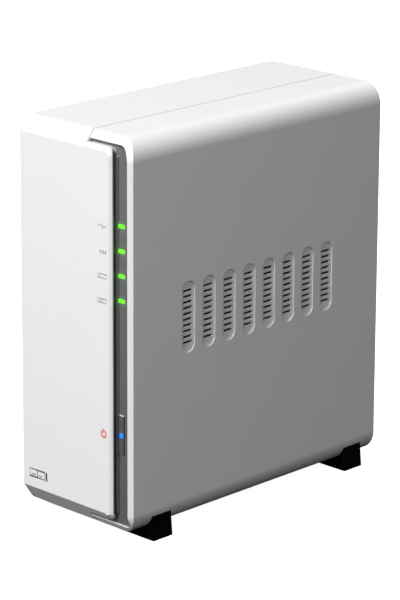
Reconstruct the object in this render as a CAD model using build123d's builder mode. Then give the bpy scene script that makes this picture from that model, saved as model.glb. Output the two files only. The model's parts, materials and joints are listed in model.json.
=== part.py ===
"""Two-bay network attached storage: a white two-part shell around a sheet-metal
frame that carries the mainboard, two upright 3.5-inch drives and an 80 mm fan.

Frame: millimetres, +Z up, front of the case towards -Y, lights and button on the
+X side of the front. The origin lies on the surface it stands on, under the middle.
"""
import os
from math import cos, pi, radians, sin, tan

from build123d import *

os.makedirs("parts", exist_ok=True)

# ---------------------------------------------------------------- driving sizes
BODY_WIDTH = 98.0        # across the two side walls
BODY_DEPTH = 225.5       # front plate to the rear edge of the shells
BODY_HEIGHT = 252.0      # underside to top
FOOT_HEIGHT = 6.5        # floor to the underside of the shells
WALL = 2.5               # moulded shell wall
CORNER_RADIUS = 14.0     # long rounded corners of the right shell
TOP_BEVEL = (8.2, 9.7)   # front bevel under the top: front to back, up and down
LOW_BEVEL = (7.4, 10.7)  # front bevel over the underside: front to back, up and down
SIDE_BEVEL = (2.3, 3.0)  # bevel down the right front edge: front to back, across
SEAM_X = 9.0             # parting line on the top and the underside
SEAM_GAP = 0.5           # open width of the parting line
PLATE_EDGE_X = 31.5      # right edge of the front plate
STRIP_RECESS = 6.0       # dark strip behind the front plate's face
COVER_TRAVEL = 20.0      # the right shell slides this far forward to unhook
CLEARANCE = 0.2          # between moulded pieces that slide past each other

# ---------------------------------------------------------------- worked-out places
LEFT, RIGHT = -BODY_WIDTH / 2, BODY_WIDTH / 2
FRONT, REAR = -BODY_DEPTH / 2, BODY_DEPTH / 2
BOTTOM, TOP = FOOT_HEIGHT, FOOT_HEIGHT + BODY_HEIGHT
INNER_RIGHT = RIGHT - WALL
INNER_LEFT = LEFT + WALL
INNER_BOTTOM, INNER_TOP = BOTTOM + WALL, TOP - WALL
INNER_RADIUS = CORNER_RADIUS - WALL

RIM_RIGHT = RIGHT - SIDE_BEVEL[1]        # mouth of the right shell, which frames the strip
RIM_BOTTOM, RIM_TOP = BOTTOM + 4.2, TOP - 5.0
RIM_DEPTH = 6.5
RIM_TOP_RADIUS, RIM_BOTTOM_RADIUS = 9.0, 6.0
PLATE_BOTTOM, PLATE_TOP = RIM_BOTTOM + 2.0, RIM_TOP - 2.4
PLATE_BEVEL = (1.6, 1.6)
PLATE_RADIUS = 5.5

STRIP_FRONT = FRONT + STRIP_RECESS
STRIP_BACK = STRIP_FRONT + 2.0
LIGHT_X = 35.3
LIGHT_TOP_Z = 202.5
LIGHT_PITCH = 15.7
LIGHT_NAMES = ("status", "network", "drive_1", "drive_2")
LIGHT_SIZE = (5.4, 2.3)
BUTTON_Z = 69.2
BUTTON_SIZE = (6.0, 26.8)
BUTTON_LENS = 3.0
VENT_Z = 139.0

PANEL_OUTER, PANEL_INNER = REAR - 1.5, REAR - 3.5
FAN_X, FAN_Z = -2.0, 186.0
FAN_SIZE, FAN_DEPTH, FAN_PITCH = 80.0, 25.0, 71.5
FAN_BORE = 38.0
FAN_FRONT = PANEL_INNER - FAN_DEPTH

TRAY_Z, SHEET = 14.0, 1.2
BOARD_Z, BOARD_THICK = 20.0, 1.6
BOARD_TOP = BOARD_Z + BOARD_THICK
BOARD_X = (-42.0, 37.0)
BOARD_Y = (-84.0, 105.0)

DRIVE_THICK, DRIVE_WIDTH, DRIVE_LENGTH = 26.1, 101.6, 147.0
DRIVE_X = (-17.0, 17.0)
DRIVE_Y0 = -68.0
DRIVE_Z0 = 80.0
CAGE_FRONT, CAGE_REAR = DRIVE_Y0 - 0.4, DRIVE_Y0 + DRIVE_WIDTH + 0.4
CAGE_X = 33.0
CAGE_TOP = DRIVE_Z0 + 136.0
CAGE_FLOOR = DRIVE_Z0 - 6.0
BACKPLANE_Z = CAGE_FLOOR - 8.0

CAGE_FLANGE_X = -CAGE_X - SHEET
CAGE_FLANGE = 12.0
CAGE_POST_Y = (CAGE_FRONT - SHEET - 7.0, CAGE_REAR + SHEET + 7.0)
CAGE_POST_Z = (94.0, 204.0)

FRONT_BOARD_Y = FRONT + 16.0
FRONT_BOARD_X = (20.0, 43.5)
FRONT_BOARD_Z = (52.0, 214.0)
POST_X = 24.5
POST_Z = (60.0, 132.0, 208.0)


# ---------------------------------------------------------------- helpers
def facing_front(y):
    """Sketch plane at depth y: X to the right, Z up, extruding forward."""
    return Plane.XZ.offset(-y)


def block(x, y, z, mode=Mode.ADD):
    """A box given by its (low, high) spans along X, Y and Z."""
    with Locations(((x[0] + x[1]) / 2, (y[0] + y[1]) / 2, (z[0] + z[1]) / 2)):
        Box(x[1] - x[0], y[1] - y[0], z[1] - z[0], mode=mode)


def rod(point, direction, radius, length, mode=Mode.ADD):
    """A round bar from point along direction."""
    with BuildSketch(Plane(origin=point, z_dir=direction)) as section:
        Circle(radius)
    extrude(section.sketch, amount=length, mode=mode)


def screw(point, out, head_radius, head_height, shank_radius, shank_length):
    """A pan-head screw seated at point, its cross-recessed head standing out."""
    seat = Plane(origin=point, z_dir=out)
    cross_width, cross_depth = 0.3 * head_radius, 0.6 * head_height
    with BuildSketch(seat) as head:
        Circle(head_radius)
    extrude(head.sketch, amount=head_height)
    with BuildSketch(seat) as shank:
        Circle(shank_radius)
    extrude(shank.sketch, amount=-shank_length)
    with BuildSketch(seat.offset(head_height)) as cross:
        Rectangle(1.2 * head_radius, cross_width)
        Rectangle(cross_width, 1.2 * head_radius)
    extrude(cross.sketch, amount=-cross_depth, mode=Mode.SUBTRACT)


def side_profile(inset=0.0):
    """The case seen from the side, with its bevelled front corners, shrunk by inset."""
    with BuildLine() as outline:
        Polyline(
            (FRONT + TOP_BEVEL[0], TOP), (REAR, TOP), (REAR, BOTTOM), (FRONT + LOW_BEVEL[0], BOTTOM),
            (FRONT, BOTTOM + LOW_BEVEL[1]), (FRONT, TOP - TOP_BEVEL[1]), close=True,
        )
    make_face(outline.edges())
    if inset:
        offset(amount=-inset, kind=Kind.INTERSECTION)


def rounded_right(x, z, top_radius, bottom_radius, mode=Mode.ADD):
    """A rectangle over spans x and z whose two right-hand corners are rounded."""
    with BuildLine() as outline:
        Polyline((x[1] - top_radius, z[1]), (x[0], z[1]), (x[0], z[0]), (x[1] - bottom_radius, z[0]))
        RadiusArc((x[1] - bottom_radius, z[0]), (x[1], z[0] + bottom_radius), -bottom_radius)
        Line((x[1], z[0] + bottom_radius), (x[1], z[1] - top_radius))
        RadiusArc((x[1], z[1] - top_radius), (x[1] - top_radius, z[1]), -top_radius)
    make_face(outline.edges(), mode=mode)


def bevel_section(centre, turn, up, radius, start, depth):
    """Triangle that cuts a front bevel, on the half plane at turn degrees round the corner.

    The corner's axis runs front to back through centre (x, z). The turn goes from
    straight up, or straight down where up is -1, round to +X. The cut begins start
    from the axis and is depth deep at the corner's radius.
    """
    radial = Vector(sin(radians(turn)), 0, up * cos(radians(turn)))
    slope = depth / (radius - start)
    beyond = radius + 2.0
    side = Plane(origin=(centre[0], FRONT, centre[1]), x_dir=radial, z_dir=radial.cross(Vector(0, 1, 0)))
    with BuildSketch(side) as section:
        with BuildLine() as outline:
            Polyline((start - 1 / slope, -1), (beyond, slope * (beyond - start)), (beyond, -1), close=True)
        make_face(outline.edges())
    return section.sketch


def wrapped_bevel(x0, corner_x, corner_z, radius, side_bevel):
    """Cuts a top and a bottom bevel that turn smoothly into a narrower one down the right edge."""
    steps = 4
    for up, z, bevel, limit in ((1, corner_z[1], TOP_BEVEL, TOP), (-1, corner_z[0], LOW_BEVEL, BOTTOM)):
        flat = (limit - z) * up - bevel[1]
        flat_depth = bevel[0] / bevel[1] * (radius - flat)
        edge, edge_depth = radius - side_bevel[1], side_bevel[0]
        sections = []
        for step in range(steps + 1):
            turn = 90.0 * step / steps
            share = sin(radians(turn)) ** 2
            start = flat + (edge - flat) * share
            depth = flat_depth + (edge_depth - flat_depth) * share
            sections.append(bevel_section((corner_x, z), turn, up, radius, start, depth))
        loft([section.face() for section in sections], mode=Mode.SUBTRACT)
        extrude(sections[0], amount=up * (corner_x - x0 + 1), mode=Mode.SUBTRACT)
        if up < 0:
            extrude(sections[-1], amount=corner_z[1] - corner_z[0], mode=Mode.SUBTRACT)


def vent_field(wall_x, out):
    """Row of upright capsule recesses with louvre slots, sunk into a side wall."""
    count, pitch, width, height = 8, 18.0, 11.0, 46.0
    recess, slot_height, slot_pitch, slots = 1.0, 1.7, 3.7, 10
    centre = Plane(origin=(wall_x, 0, VENT_Z), x_dir=(0, out, 0), z_dir=(out, 0, 0))
    with BuildSketch(centre) as recesses:
        with GridLocations(pitch, 0, count, 1):
            SlotOverall(height, width, rotation=90)
    extrude(recesses.sketch, amount=-recess, mode=Mode.SUBTRACT)
    with BuildSketch(centre) as louvres:
        with GridLocations(pitch, slot_pitch, count, slots):
            SlotOverall(width - 3.0, slot_height)
    extrude(louvres.sketch, amount=-WALL - 1.0, mode=Mode.SUBTRACT)


def corner_radii(points):
    """Arc for each corner of a lead: 0.45 of its shorter run over tan(half the turn)."""
    radii = []
    for before, corner, after in zip(points, points[1:], points[2:]):
        arriving = Vector(*corner) - Vector(*before)
        leaving = Vector(*after) - Vector(*corner)
        half_turn = radians(arriving.get_angle(leaving)) / 2
        radii.append(0.45 * min(arriving.length, leaving.length) / tan(half_turn))
    return radii


def lead(name, points, radius):
    """A round lead along straight runs joined by tangent arcs."""
    radii = corner_radii(points)
    with BuildLine() as route:
        FilletPolyline(*points, radius=radii)
    start = Vector(*points[0])
    with BuildSketch(Plane(origin=start, z_dir=Vector(*points[1]) - start)) as section:
        Circle(radius)
    path = route.wire()
    sweep(section.sketch, path=path)
    length = path.length
    print(name, "length", round(length, 1), "section x length", round(pi * radius**2 * length, 1),
          "least radius", round(min(radii), 1))


def about(middle, width):
    """The span of that width about a middle value."""
    return (middle - width / 2, middle + width / 2)


def finish(builder, name):
    """Label a finished piece and write it out."""
    builder.part.label = name
    export_step(builder.part, f"parts/{name}.step")


# ---------------------------------------------------------------- left shell
# Front plate, left wall and the near halves of the top and the underside, in one moulding.
TONGUE_X = (SEAM_X - 5.0, SEAM_X + 4.0)
TONGUE_Y = (FRONT + 10.0, PANEL_INNER - 0.5)
FOOT_Y = (-85.7, 91.8)
PEG_X, PEG_RADIUS = 24.0, 2.2
TRAY_POSTS = [(x, y) for x in (-38.0, 3.0) for y in (-76.0, 10.0, 96.0)]
PANEL_POSTS_Z = (44.0, 128.0, 246.0)
PANEL_POST_X = INNER_LEFT + 3.5
TONGUE_THICK = 1.5
POST_RADIUS, POST_HOLE = 4.0, 1.5
PANEL_POST_LENGTH = 14.0
ROOT = 0.5                           # how far a post is sunk into the wall that it grows from

with BuildPart() as left_shell:
    with BuildSketch(Plane.YZ.offset(LEFT)):
        side_profile()
    extrude(amount=SEAM_X - SEAM_GAP / 2 - LEFT)
    with BuildSketch(Plane.YZ.offset(INNER_LEFT)):
        side_profile(WALL)
        with Locations((REAR - WALL, (TOP + BOTTOM) / 2)):
            Rectangle(2 * WALL + 2, INNER_TOP - INNER_BOTTOM)
    extrude(amount=BODY_WIDTH, mode=Mode.SUBTRACT)
    left_edges = left_shell.edges().filter_by(Axis.Y).group_by(Axis.X)[0]
    fillet(left_edges.group_by(Axis.Z)[-1] + left_edges.group_by(Axis.Z)[0], radius=1.5)

with BuildPart() as plate_end:
    with BuildSketch(facing_front(FRONT + STRIP_RECESS)):
        rounded_right((SEAM_X - 1.0, PLATE_EDGE_X), (PLATE_BOTTOM, PLATE_TOP), PLATE_RADIUS, PLATE_RADIUS)
    extrude(amount=STRIP_RECESS)
    wrapped_bevel(SEAM_X - 1.0, PLATE_EDGE_X - PLATE_RADIUS,
                  (PLATE_BOTTOM + PLATE_RADIUS, PLATE_TOP - PLATE_RADIUS), PLATE_RADIUS, PLATE_BEVEL)
    with BuildSketch(Plane.YZ):
        side_profile(WALL)
    extrude(amount=PLATE_EDGE_X + 1, mode=Mode.SUBTRACT)

with BuildPart() as left_shell_whole:
    add(left_shell.part)
    add(plate_end.part)
    vent_field(LEFT, -1)
    for z in ((INNER_TOP - TONGUE_THICK, INNER_TOP), (INNER_BOTTOM, INNER_BOTTOM + TONGUE_THICK)):
        block((TONGUE_X[0], SEAM_X - SEAM_GAP / 2), TONGUE_Y, z)
    block(TONGUE_X, TONGUE_Y, (INNER_TOP - TONGUE_THICK, INNER_TOP - CLEARANCE))
    block(TONGUE_X, TONGUE_Y, (INNER_BOTTOM + CLEARANCE, INNER_BOTTOM + TONGUE_THICK))
    for x, y in TRAY_POSTS:
        rod((x, y, INNER_BOTTOM - ROOT), (0, 0, 1), POST_RADIUS, TRAY_Z - INNER_BOTTOM + ROOT)
        rod((x, y, INNER_BOTTOM - ROOT), (0, 0, 1), POST_HOLE, TRAY_Z, Mode.SUBTRACT)
    for z in PANEL_POSTS_Z:
        block((INNER_LEFT - ROOT, PANEL_POST_X), (PANEL_INNER - PANEL_POST_LENGTH, PANEL_INNER),
              about(z, 2 * POST_RADIUS))
        rod((PANEL_POST_X, PANEL_INNER, z), (0, -1, 0), POST_RADIUS, PANEL_POST_LENGTH)
        rod((PANEL_POST_X, PANEL_INNER, z), (0, -1, 0), POST_HOLE, 10.0, Mode.SUBTRACT)
    for y in CAGE_POST_Y:
        for z in CAGE_POST_Z:
            rod((INNER_LEFT - ROOT, y, z), (1, 0, 0), POST_RADIUS, CAGE_FLANGE_X - INNER_LEFT + ROOT)
            rod((CAGE_FLANGE_X, y, z), (-1, 0, 0), POST_HOLE, 8.0, Mode.SUBTRACT)
    for z in POST_Z:
        rod((POST_X, FRONT + WALL - ROOT, z), (0, 1, 0), 3.5, FRONT_BOARD_Y - FRONT - WALL + ROOT)
        rod((POST_X, FRONT_BOARD_Y, z), (0, -1, 0), 1.2, 7.0, Mode.SUBTRACT)
    for y in FOOT_Y:
        rod((-PEG_X, y, BOTTOM - 1), (0, 0, 1), PEG_RADIUS, WALL + 2, Mode.SUBTRACT)
finish(left_shell_whole, "left_shell")

# ---------------------------------------------------------------- right shell, the sliding cover
COVER_SCREW_X = INNER_RIGHT - 4.5
COVER_SCREW_Z = (34.0, 232.0)
COVER_SCREW_RADIUS = 1.5
BOSS_DEPTH = 9.0
COVER_X = (SEAM_X + SEAM_GAP / 2, RIGHT)

with BuildPart() as right_shell:
    with BuildSketch(facing_front(REAR)):
        rounded_right(COVER_X, (BOTTOM, TOP), CORNER_RADIUS, CORNER_RADIUS)
    extrude(amount=BODY_DEPTH)
    wrapped_bevel(COVER_X[0], RIGHT - CORNER_RADIUS, (BOTTOM + CORNER_RADIUS, TOP - CORNER_RADIUS),
                  CORNER_RADIUS, SIDE_BEVEL)

with BuildPart() as cover_hollow:
    with BuildSketch(facing_front(REAR + 5)):
        rounded_right((-5, INNER_RIGHT), (INNER_BOTTOM, INNER_TOP), INNER_RADIUS, INNER_RADIUS)
    extrude(amount=BODY_DEPTH + 5 - RIM_DEPTH)
    with BuildSketch(Plane.YZ.offset(-10)):
        side_profile(WALL)
        with Locations((REAR, (TOP + BOTTOM) / 2)):
            Rectangle(4 * WALL, INNER_TOP - INNER_BOTTOM)
    extrude(amount=RIGHT + 20, mode=Mode.INTERSECT)

with BuildPart() as right_shell_whole:
    add(right_shell.part)
    add(cover_hollow.part, mode=Mode.SUBTRACT)
    with BuildSketch(facing_front(FRONT + RIM_DEPTH + COVER_TRAVEL + 3)):
        rounded_right((-5, RIM_RIGHT), (RIM_BOTTOM, RIM_TOP), RIM_TOP_RADIUS, RIM_BOTTOM_RADIUS)
    extrude(amount=RIM_DEPTH + COVER_TRAVEL + 5, mode=Mode.SUBTRACT)
    vent_field(RIGHT, 1)
    for z in COVER_SCREW_Z:
        block((COVER_SCREW_X - 3.5, INNER_RIGHT + 0.5), (PANEL_INNER - 0.3 - BOSS_DEPTH, PANEL_INNER - 0.3),
              (z - 3.5, z + 3.5))
        rod((COVER_SCREW_X, PANEL_INNER, z), (0, -1, 0), COVER_SCREW_RADIUS + 0.08, BOSS_DEPTH + 2,
            Mode.SUBTRACT)
    for y in FOOT_Y:
        rod((PEG_X, y, BOTTOM - 1), (0, 0, 1), PEG_RADIUS, WALL + 2, Mode.SUBTRACT)
finish(right_shell_whole, "right_shell")

# ---------------------------------------------------------------- feet
FOOT_LENGTH, FOOT_REACH, FOOT_TOP_Z = 16.6, 49.8, 16.0
FOOT_INNER_X = 16.0

FOOT_CORNER_Z = BOTTOM + CORNER_RADIUS
FOOT_CORNER_X = RIGHT - CORNER_RADIUS
FOOT_TOP_X = FOOT_CORNER_X + (CORNER_RADIUS**2 - (FOOT_CORNER_Z - FOOT_TOP_Z) ** 2) ** 0.5

with BuildPart() as right_feet:
    for foot_y in FOOT_Y:
        with BuildSketch(facing_front(foot_y + FOOT_LENGTH / 2)):
            with BuildLine():
                Polyline((FOOT_CORNER_X, BOTTOM), (FOOT_INNER_X, BOTTOM), (FOOT_INNER_X + 2, 0),
                         (FOOT_REACH, 0), (FOOT_TOP_X, FOOT_TOP_Z))
                RadiusArc((FOOT_TOP_X, FOOT_TOP_Z), (FOOT_CORNER_X, BOTTOM), CORNER_RADIUS)
            make_face()
        extrude(amount=FOOT_LENGTH)
        rod((PEG_X, foot_y, BOTTOM - 0.5), (0, 0, 1), PEG_RADIUS, WALL + 0.5)
finish(right_feet, "right_feet")

with BuildPart() as left_feet:
    for foot_y in FOOT_Y:
        with BuildSketch(facing_front(foot_y + FOOT_LENGTH / 2)):
            with BuildLine():
                Polyline((-FOOT_INNER_X, BOTTOM), (-FOOT_INNER_X - 2, 0), (-FOOT_REACH, 0),
                         (LEFT + 1.6, BOTTOM), close=True)
            make_face()
        extrude(amount=FOOT_LENGTH)
        rod((-PEG_X, foot_y, BOTTOM - 0.5), (0, 0, 1), PEG_RADIUS, WALL + 0.5)
finish(left_feet, "left_feet")

# ---------------------------------------------------------------- dark strip with its lights
STRIP_X = RIM_RIGHT - CLEARANCE
STRIP_Z = (RIM_BOTTOM + CLEARANCE, RIM_TOP - CLEARANCE)
STRIP_WALL = 1.2
COVE = 1.6

light_places = [(LIGHT_X, LIGHT_TOP_Z - LIGHT_PITCH * i) for i in range(len(LIGHT_NAMES))]

with BuildPart() as strip_wall:
    with BuildSketch(facing_front(STRIP_BACK)):
        rounded_right((SEAM_X + 1, PLATE_EDGE_X), (PLATE_BOTTOM, PLATE_TOP), PLATE_RADIUS, PLATE_RADIUS)
        inner_radius = PLATE_RADIUS - STRIP_WALL
        rounded_right((SEAM_X, PLATE_EDGE_X - STRIP_WALL),
                      (PLATE_BOTTOM + STRIP_WALL, PLATE_TOP - STRIP_WALL),
                      inner_radius, inner_radius, mode=Mode.SUBTRACT)
    extrude(amount=STRIP_BACK - FRONT)
    with BuildSketch(Plane.XY.offset(PLATE_BOTTOM + PLATE_RADIUS)):
        with BuildLine():
            Polyline((PLATE_EDGE_X + COVE, STRIP_FRONT), (PLATE_EDGE_X, STRIP_FRONT),
                     (PLATE_EDGE_X, STRIP_FRONT - COVE))
            RadiusArc((PLATE_EDGE_X, STRIP_FRONT - COVE), (PLATE_EDGE_X + COVE, STRIP_FRONT), -COVE)
        make_face()
    extrude(amount=PLATE_TOP - PLATE_BOTTOM - 2 * PLATE_RADIUS)
    with BuildSketch(Plane.YZ):
        side_profile(WALL)
    extrude(amount=RIGHT, mode=Mode.INTERSECT)

with BuildPart() as led_strip:
    with BuildSketch(facing_front(STRIP_BACK)):
        rounded_right((COVER_X[0], STRIP_X), STRIP_Z, RIM_TOP_RADIUS, RIM_BOTTOM_RADIUS)
    extrude(amount=STRIP_BACK - STRIP_FRONT)
    block((COVER_X[0] - 1, PLATE_EDGE_X - STRIP_WALL), (STRIP_FRONT - 1, STRIP_BACK + 1),
          (STRIP_Z[0] + 5, STRIP_Z[1] - 5), Mode.SUBTRACT)
    add(strip_wall.part)
    with BuildSketch(facing_front(STRIP_BACK + 1)):
        with Locations(*light_places):
            Rectangle(*LIGHT_SIZE)
        with Locations((PLATE_EDGE_X + BUTTON_SIZE[0] / 2, BUTTON_Z)):
            Rectangle(*BUTTON_SIZE)
    extrude(amount=STRIP_RECESS, mode=Mode.SUBTRACT)
finish(led_strip, "led_strip")

for light_name, (light_x, light_z) in zip(LIGHT_NAMES, light_places):
    with BuildPart() as light_lens:
        with BuildSketch(facing_front(STRIP_BACK)):
            with Locations((light_x, light_z)):
                Rectangle(*LIGHT_SIZE)
        extrude(amount=STRIP_BACK - STRIP_FRONT + 0.3)
        with BuildSketch(facing_front(STRIP_BACK + 2.2)):
            with Locations((light_x + 0.5, light_z)):
                Rectangle(LIGHT_SIZE[0] + 2.6, LIGHT_SIZE[1] + 2.4)
        extrude(amount=2.2)
    finish(light_lens, f"{light_name}_lens")

# ---------------------------------------------------------------- power button
BUTTON_GAP = 0.3
BUTTON_PROUD = 0.7
BUTTON_X = (PLATE_EDGE_X + BUTTON_GAP, PLATE_EDGE_X + BUTTON_SIZE[0] - BUTTON_GAP)
BUTTON_SPAN_Z = (BUTTON_Z - BUTTON_SIZE[1] / 2 + BUTTON_GAP, BUTTON_Z + BUTTON_SIZE[1] / 2 - BUTTON_GAP)
BUTTON_FACE = STRIP_FRONT - BUTTON_PROUD
BUTTON_LENS_X = BUTTON_X[1] - 0.3 - BUTTON_LENS / 2
FLANGE_Y = (STRIP_BACK + 0.05, STRIP_BACK + 1.2)
SWITCH_DEPTH = 3.4
STEM_RADIUS = 1.6
SWITCH_Z = BUTTON_Z - 9.0
SWITCH_X = 35.0

with BuildPart() as power_button:
    with BuildSketch(Plane.XY.offset(BUTTON_SPAN_Z[0])):
        with BuildLine():
            Polyline((BUTTON_X[0] + COVE, BUTTON_FACE), (BUTTON_X[1], BUTTON_FACE),
                     (BUTTON_X[1], FLANGE_Y[0]), (BUTTON_X[0], FLANGE_Y[0]),
                     (BUTTON_X[0], BUTTON_FACE - COVE))
            RadiusArc((BUTTON_X[0], BUTTON_FACE - COVE), (BUTTON_X[0] + COVE, BUTTON_FACE), -COVE)
        make_face()
    extrude(amount=BUTTON_SPAN_Z[1] - BUTTON_SPAN_Z[0])
    ends = power_button.faces().filter_by(Axis.Z).edges()
    chamfer(ends.filter_by(Axis.X).group_by(Axis.Y)[0], length=BUTTON_PROUD - 0.1)
    block((BUTTON_X[0], BUTTON_X[1] + 2.0), FLANGE_Y, (BUTTON_SPAN_Z[0] - 1.5, BUTTON_SPAN_Z[1] + 1.5))
    rod((SWITCH_X, FLANGE_Y[1], SWITCH_Z), (0, 1, 0), 1.4, FRONT_BOARD_Y - SWITCH_DEPTH - 0.9 - FLANGE_Y[1])
    block(about(BUTTON_LENS_X, BUTTON_LENS), (STRIP_FRONT - 1, FLANGE_Y[1] + 1),
          about(BUTTON_Z, BUTTON_LENS), Mode.SUBTRACT)
finish(power_button, "power_button")

with BuildPart() as power_lens:
    block(about(BUTTON_LENS_X, BUTTON_LENS), (BUTTON_FACE - 0.2, FLANGE_Y[1]), about(BUTTON_Z, BUTTON_LENS))
finish(power_lens, "power_lens")

STEM_FRONT = FRONT_BOARD_Y - SWITCH_DEPTH - 0.9
with BuildPart() as power_switch_stem:
    rod((SWITCH_X, STEM_FRONT, SWITCH_Z), (0, 1, 0), STEM_RADIUS, 2.6)
finish(power_switch_stem, "power_switch_stem")

# ---------------------------------------------------------------- front board
with BuildPart() as front_board:
    block(FRONT_BOARD_X, (FRONT_BOARD_Y, FRONT_BOARD_Y + BOARD_THICK), FRONT_BOARD_Z)
    for z in POST_Z:
        rod((POST_X, FRONT_BOARD_Y - 1, z), (0, 1, 0), 1.3, 4.0, Mode.SUBTRACT)
finish(front_board, "front_board")

with BuildPart() as front_leds:
    for x, z in light_places + [(BUTTON_LENS_X, BUTTON_Z)]:
        block((x - 1.6, x + 1.6), (FRONT_BOARD_Y - 1.4, FRONT_BOARD_Y), (z - 1.0, z + 1.0))
        block((x - 1.1, x + 1.1), (FRONT_BOARD_Y - 1.8, FRONT_BOARD_Y - 1.4), (z - 0.8, z + 0.8))
finish(front_leds, "front_leds")

FRONT_PLUG = (33.0, FRONT_BOARD_Y + BOARD_THICK, 92.0)
with BuildPart() as front_board_screws:
    for z in POST_Z:
        screw((POST_X, FRONT_BOARD_Y + BOARD_THICK, z), (0, 1, 0), 2.4, 1.6, 1.2, 6.0)
finish(front_board_screws, "front_board_screws")

# ---------------------------------------------------------------- base tray
TRAY_X = (INNER_LEFT + 1.0, 40.0)
TRAY_Y = (-88.0, PANEL_INNER - 2.0)
BOARD_POSTS = [(x, y) for x in (-32.0, 32.0) for y in (-79.0, 0.0, 74.0)]

with BuildPart() as base_tray:
    block(TRAY_X, TRAY_Y, (TRAY_Z, TRAY_Z + SHEET))
    block((TRAY_X[0], TRAY_X[0] + SHEET), TRAY_Y, (TRAY_Z, TRAY_Z + 9))
    block((TRAY_X[1] - SHEET, TRAY_X[1]), (TRAY_Y[0], 80.0), (TRAY_Z, TRAY_Z + 9))
    for x, y in BOARD_POSTS:
        rod((x, y, TRAY_Z + SHEET - 0.2), (0, 0, 1), 3.0, BOARD_Z - TRAY_Z - SHEET + 0.2)
        rod((x, y, TRAY_Z - 1), (0, 0, 1), 1.5, 10.0, Mode.SUBTRACT)
    for x, y in TRAY_POSTS:
        rod((x, y, TRAY_Z - 1), (0, 0, 1), 1.7, 4.0, Mode.SUBTRACT)
    with BuildSketch(Plane.XY.offset(TRAY_Z - 1)):
        with Locations((-14, 50), (16, 50), (-14, -35), (16, -35)):
            RectangleRounded(18, 50, 4)
    extrude(amount=SHEET + 2, mode=Mode.SUBTRACT)
finish(base_tray, "base_tray")

# ---------------------------------------------------------------- mainboard and what stands on it
MAIN_SCREW_HOLE = 1.7
with BuildPart() as mainboard:
    block(BOARD_X, BOARD_Y, (BOARD_Z, BOARD_TOP))
    for x, y in BOARD_POSTS:
        rod((x, y, BOARD_Z - 1), (0, 0, 1), MAIN_SCREW_HOLE, 4.0, Mode.SUBTRACT)
finish(mainboard, "mainboard")

CHIP_X, CHIP_Y, CHIP_SIZE, CHIP_HEIGHT = -10.0, 62.0, 23.0, 2.0
with BuildPart() as processor:
    block((CHIP_X - CHIP_SIZE / 2, CHIP_X + CHIP_SIZE / 2), (CHIP_Y - CHIP_SIZE / 2, CHIP_Y + CHIP_SIZE / 2),
          (BOARD_TOP, BOARD_TOP + CHIP_HEIGHT))
finish(processor, "processor")

SINK, SINK_BASE, SINK_HEIGHT, FINS = 38.0, 3.0, 17.0, 10
sink_z = BOARD_TOP + CHIP_HEIGHT
with BuildPart() as heat_sink:
    block((CHIP_X - SINK / 2, CHIP_X + SINK / 2), (CHIP_Y - SINK / 2, CHIP_Y + SINK / 2),
          (sink_z, sink_z + SINK_BASE))
    with BuildSketch(Plane.XY.offset(sink_z + SINK_BASE)):
        with Locations((CHIP_X, CHIP_Y)):
            with GridLocations((SINK - 1.4) / (FINS - 1), 0, FINS, 1):
                Rectangle(1.4, SINK)
    extrude(amount=SINK_HEIGHT)
finish(heat_sink, "heat_sink")

with BuildPart() as memory_chips:
    with BuildSketch(Plane.XY.offset(BOARD_TOP)):
        with Locations((20.0, 62.0)):
            with GridLocations(0, 18.0, 1, 2):
                Rectangle(9.5, 14.0)
        with Locations((-10.0, 28.0)):
            with GridLocations(20.0, 0, 2, 1):
                Rectangle(14.0, 9.5)
    extrude(amount=1.1)
finish(memory_chips, "memory_chips")

CAPACITOR_PLACES = [(-34.0, 22.0), (-34.0, 34.0), (-34.0, 46.0), (28.0, -62.0), (14.0, -62.0), (0.0, -62.0)]
with BuildPart() as capacitors:
    for x, y in CAPACITOR_PLACES:
        rod((x, y, BOARD_TOP), (0, 0, 1), 4.0, 10.5)
    fillet(capacitors.edges().filter_by(GeomType.CIRCLE).group_by(Axis.Z)[-1], radius=0.7)
finish(capacitors, "capacitors")

CELL_X, CELL_Y, CELL_RADIUS, CELL_HEIGHT = -24.0, -46.0, 10.0, 3.2
CELL_SEAT = BOARD_TOP + 1.5
with BuildPart() as cell_holder:
    rod((CELL_X, CELL_Y, BOARD_TOP), (0, 0, 1), CELL_RADIUS + 2.0, 5.0)
    rod((CELL_X, CELL_Y, CELL_SEAT), (0, 0, 1), CELL_RADIUS + 0.05, 6.0, Mode.SUBTRACT)
    block(about(CELL_X, 8), about(CELL_Y - 11, 10), (CELL_SEAT, BOARD_TOP + 6), Mode.SUBTRACT)
finish(cell_holder, "cell_holder")

with BuildPart() as coin_cell:
    rod((CELL_X, CELL_Y, CELL_SEAT), (0, 0, 1), CELL_RADIUS, CELL_HEIGHT)
finish(coin_cell, "coin_cell")

with BuildPart() as buzzer:
    rod((28.0, -40.0, BOARD_TOP), (0, 0, 1), 6.0, 7.0)
    rod((28.0, -40.0, BOARD_TOP + 8), (0, 0, -1), 1.2, 4.0, Mode.SUBTRACT)
finish(buzzer, "buzzer")

# ---------------------------------------------------------------- rear sockets
SOCKET_REAR = PANEL_OUTER + 0.3
LAN_X, LAN_SIZE, LAN_DEPTH = 24.0, (16.0, 13.5), 21.0
USB_X, USB_SIZE, USB_DEPTH = (-10.0, 8.0), (14.4, 7.0), 17.5
DC_X, DC_SIZE, DC_DEPTH, DC_BORE, DC_PIN = -35.0, (10.0, 11.0), 14.0, 3.2, 1.0
RESET_X, RESET_Z = -22.5, BOARD_TOP + 4.0
RESET_HOLE = 1.6


def socket_block(x, size, depth):
    """Outer case of a board-edge socket whose mouth looks out of the rear panel."""
    block(about(x, size[0]), (SOCKET_REAR - depth, SOCKET_REAR), (BOARD_TOP, BOARD_TOP + size[1]))


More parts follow.
